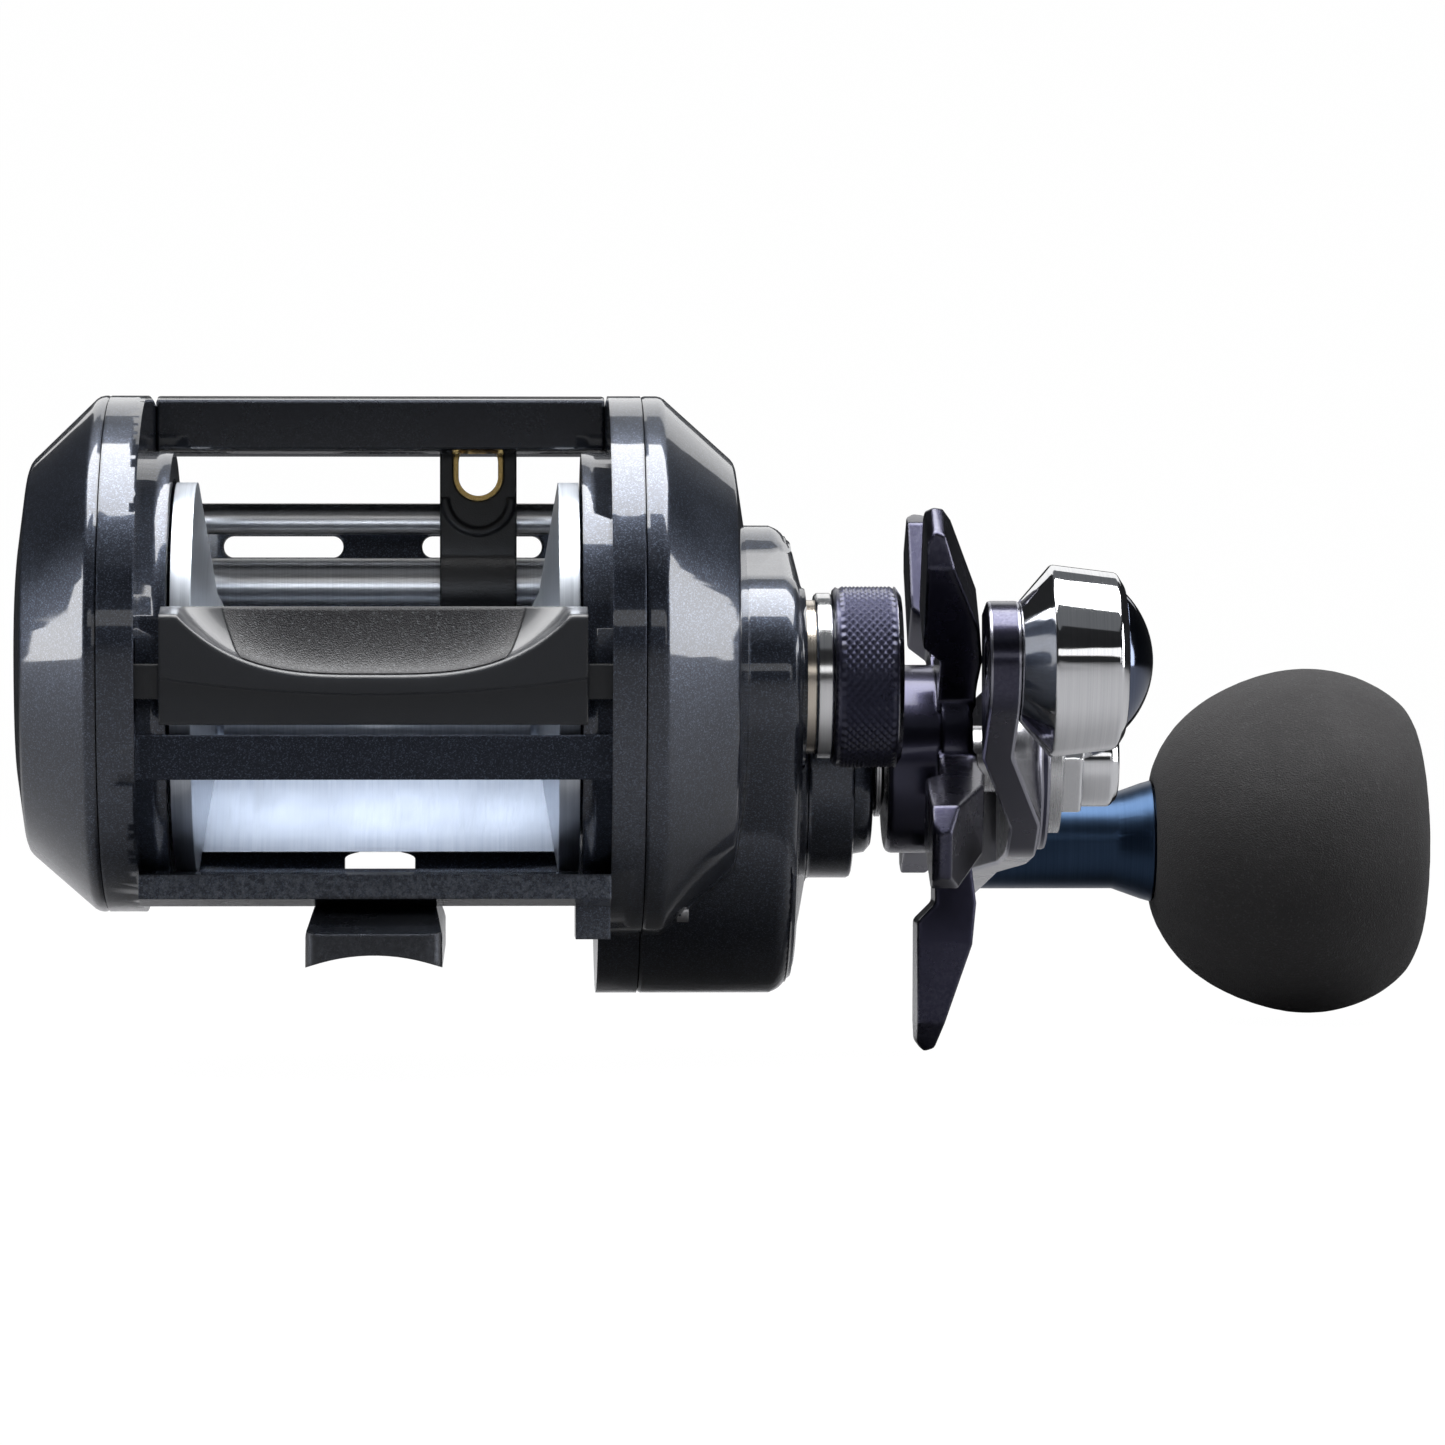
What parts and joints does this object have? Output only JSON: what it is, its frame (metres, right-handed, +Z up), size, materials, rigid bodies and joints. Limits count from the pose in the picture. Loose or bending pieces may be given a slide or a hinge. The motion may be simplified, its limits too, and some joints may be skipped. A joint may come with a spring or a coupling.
{
  "type": "bait-casting fishing reel",
  "caption": "Low-profile bait-casting reel with level wind, thumb bar, star drag and a single-knob power handle.",
  "frame": {"origin": "middle of the saddle under the reel foot, where the foot lies on the rod", "axes": "+X to the handle side along the spool axis, +Y to the rod tip, +Z up away from the rod"},
  "size_m": [0.1779, 0.1504, 0.0793],
  "materials": {
    "body_paint": "metallic blue-black gloss paint over aluminium",
    "shield_satin": "satin blue-silver anodised aluminium",
    "thumb_gloss": "semi-gloss blue-black moulded plastic",
    "thumb_grip": "fine-grained charcoal thumb pad",
    "spool_satin": "satin silver anodised aluminium",
    "steel": "turned and polished steel",
    "chrome": "bright chrome",
    "smoke_gloss": "smoked mirror finish",
    "brass": "machined brass and gold-coloured liner",
    "dark_anodised": "dark indigo anodised aluminium",
    "blue_anodised": "deep blue anodised aluminium",
    "black_plastic": "black moulded plastic",
    "foam": "closed-cell charcoal foam"
  },
  "bodies": {
    "reel_body": {"frame": "body_paint", "palm_side_cover": "body_paint", "gear_side_cover": "body_paint", "hood": "body_paint", "front_plate": "body_paint", "front_shield": "shield_satin", "reel_foot": "body_paint", "foot_screws": "steel", "cover_screws": "steel", "guide_rod": "steel", "worm_tube": "steel", "worm_bushings": "black_plastic", "brake_drum": "brass", "palm_bearing": "steel", "pinion_bearings": "steel", "cap_bearing": "steel", "drive_bearing": "steel", "anti_reverse_bearing": "steel", "bearing_retainer": "body_paint", "yoke_springs": "steel", "thread_ring": "chrome", "cap_collar": "chrome"},
    "spool": {"spool": "spool_satin", "spool_shaft": "steel", "brake_hub": "black_plastic", "brake_blocks": "black_plastic"},
    "crank": {"drive_shaft": "steel", "drive_gear": "brass", "cross_gear": "black_plastic", "drag_washers": "black_plastic", "drag_plates": "steel", "pressure_plate": "steel", "clutch_sleeve": "steel", "drag_springs": "steel", "handle_arm": "dark_anodised", "handle_washer": "steel", "handle_nut": "chrome", "nut_cap": "chrome", "counterweight": "chrome", "counterweight_cap": "smoke_gloss", "knob_spindle": "steel", "knob_screw": "steel"},
    "star": {"star_drag": "dark_anodised"},
    "knob": {"knob_ferrule": "blue_anodised", "knob_grip": "foam", "knob_bearings": "steel"},
    "cast_control": {"cast_control_cap": "dark_anodised", "cap_shim": "brass"},
    "worm": {"worm_shaft": "steel", "worm_gear": "black_plastic"},
    "guide": {"line_guide": "black_plastic", "guide_insert": "brass", "guide_pawl": "steel", "pawl_cap": "steel"},
    "thumb_lever": {"thumb_bar": "thumb_gloss", "thumb_pad": "thumb_grip"},
    "clutch_yoke": {"clutch_yoke": "black_plastic"},
    "clutch_cam": {"clutch_cam": "steel"},
    "pinion": {"pinion": "brass"}
  },
  "joints": [
    {"name": "crank_turn", "type": "hinge", "parent": "reel_body", "child": "crank", "pos_m": [0.078, 0.024, 0.0213], "axis": [1, 0, 0], "continuous": true},
    {"name": "spool_spin", "type": "hinge", "parent": "reel_body", "child": "spool", "pos_m": [0, 0, 0.0313], "axis": [1, 0, 0], "continuous": true},
    {"name": "worm_spin", "type": "hinge", "parent": "reel_body", "child": "worm", "pos_m": [0, 0.03, 0.0427], "axis": [1, 0, 0], "continuous": true},
    {"name": "guide_travel", "type": "slide", "parent": "reel_body", "child": "guide", "axis": [1, 0, 0], "range_m": [-0.02775, 0.00425]},
    {"name": "thumb_press", "type": "slide", "parent": "reel_body", "child": "thumb_lever", "axis": [0, 0, -1], "range_m": [0, 0.005]},
    {"name": "cam_turn", "type": "hinge", "parent": "reel_body", "child": "clutch_cam", "pos_m": [0.031, 0, 0.0313], "axis": [1, 0, 0], "range_deg": [0, 10]},
    {"name": "yoke_slide", "type": "slide", "parent": "reel_body", "child": "clutch_yoke", "axis": [1, 0, 0], "range_m": [0, 0.0015]},
    {"name": "pinion_spin", "type": "hinge", "parent": "clutch_yoke", "child": "pinion", "pos_m": [0.038, 0, 0.0313], "axis": [1, 0, 0], "continuous": true},
    {"name": "cap_turn", "type": "hinge", "parent": "reel_body", "child": "cast_control", "pos_m": [0.057, 0, 0.0313], "axis": [1, 0, 0], "range_deg": [-180, 180]},
    {"name": "star_turn", "type": "hinge", "parent": "crank", "child": "star", "pos_m": [0.066, 0.024, 0.0213], "axis": [1, 0, 0], "range_deg": [-180, 180]},
    {"name": "knob_spin", "type": "hinge", "parent": "crank", "child": "knob", "pos_m": [0.1, 0.094, 0.0094], "axis": [1, 0, 0], "continuous": true}
  ],
  "couplings": [
    {"joint": "spool_spin", "follows": "crank_turn", "ratio": -5.8},
    {"joint": "pinion_spin", "follows": "crank_turn", "ratio": -5.8},
    {"joint": "worm_spin", "follows": "crank_turn", "ratio": -1.6471},
    {"joint": "yoke_slide", "follows": "thumb_press", "ratio": 0.3},
    {"joint": "cam_turn", "follows": "thumb_press", "rad_per_m": 34.9}
  ]
}
